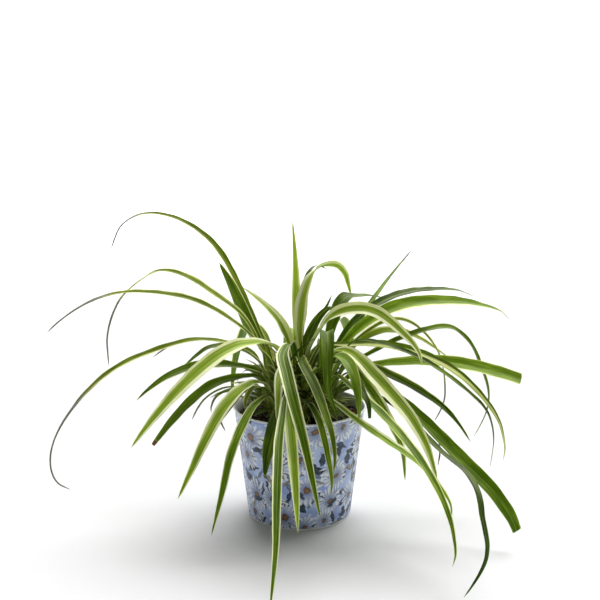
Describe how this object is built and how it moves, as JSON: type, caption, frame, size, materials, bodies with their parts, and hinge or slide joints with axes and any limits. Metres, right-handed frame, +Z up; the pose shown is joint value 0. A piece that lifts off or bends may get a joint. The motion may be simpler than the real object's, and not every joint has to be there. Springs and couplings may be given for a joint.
{
  "type": "potted spider plant",
  "caption": "Tapered round pot of soil with a clump of long arching variegated strap leaves; stands on its flat underside.",
  "frame": {"origin": "centre of the pot's flat underside, on the surface that the pot stands on", "axes": "+Z up along the pot's axis, +X to the right of the plant's front view, the front of the plant looks along -Y"},
  "size_m": [0.4785, 0.4041, 0.2915],
  "materials": {
    "pot": "glossy printed sheet metal, pale blue ground with white blossoms and slate leaves",
    "soil": "dark coarse moist potting soil",
    "crown": "smooth pale green leaf bases",
    "leaf_variegated": "satin green leaf with cream margins",
    "leaf_plain": "satin mid green leaf",
    "leaf_dark": "satin dark green leaf",
    "leaf_olive": "satin olive leaf with a dry tip"
  },
  "bodies": {
    "root": {"crown_back": "crown", "crown_front": "crown", "crown_left_front": "crown", "crown_left_rear": "crown", "crown_right_front": "crown", "crown_right_rear": "crown", "leaf_back_left_fall": "leaf_variegated", "leaf_back_middle_fall": "leaf_plain", "leaf_back_right_fall": "leaf_variegated", "leaf_centre_arch_right": "leaf_variegated", "leaf_centre_dark_behind": "leaf_dark", "leaf_centre_pale_left": "leaf_variegated", "leaf_centre_spike": "leaf_variegated", "leaf_front_big_variegated": "leaf_variegated", "leaf_front_centre_light": "leaf_variegated", "leaf_front_dark_short": "leaf_dark", "leaf_front_left_narrow": "leaf_variegated", "leaf_front_left_variegated": "leaf_variegated", "leaf_front_long_drop": "leaf_variegated", "leaf_front_low_straight": "leaf_variegated", "leaf_front_pale_short": "leaf_variegated", "leaf_front_right_inner": "leaf_variegated", "leaf_front_right_variegated": "leaf_variegated", "leaf_left_back_small": "leaf_dark", "leaf_left_big_variegated": "leaf_variegated", "leaf_left_brown_tip": "leaf_dark", "leaf_left_dark_low": "leaf_dark", "leaf_left_dark_mid": "leaf_dark", "leaf_left_high_arch": "leaf_olive", "leaf_left_long_sweep": "leaf_dark", "leaf_left_pale_thin": "leaf_olive", "leaf_left_second_arch": "leaf_olive", "leaf_left_soil_drop": "leaf_plain", "leaf_left_spear": "leaf_dark", "leaf_left_thin_a": "leaf_dark", "leaf_left_third_arch": "leaf_olive", "leaf_right_big_variegated": "leaf_variegated", "leaf_right_broad_cut": "leaf_dark", "leaf_right_broad_green": "leaf_plain", "leaf_right_cream_arch": "leaf_variegated", "leaf_right_curl": "leaf_dark", "leaf_right_dark_rise": "leaf_dark", "leaf_right_dark_stub": "leaf_dark", "leaf_right_dark_sweep": "leaf_dark", "leaf_right_dark_top": "leaf_dark", "leaf_right_dark_under": "leaf_dark", "leaf_right_far_kinked": "leaf_dark", "leaf_right_front_drop": "leaf_plain", "leaf_right_front_plain": "leaf_plain", "leaf_right_inner_variegated": "leaf_variegated", "leaf_right_kinked": "leaf_dark", "leaf_right_long_variegated": "leaf_variegated", "leaf_right_low_arch": "leaf_olive", "leaf_right_low_long": "leaf_dark", "leaf_right_needle": "leaf_dark", "leaf_right_thin_fall": "leaf_olive", "leaf_right_thin_under": "leaf_dark", "leaf_right_to_edge": "leaf_plain", "pot": "pot", "soil": "soil"}
  },
  "joints": []
}
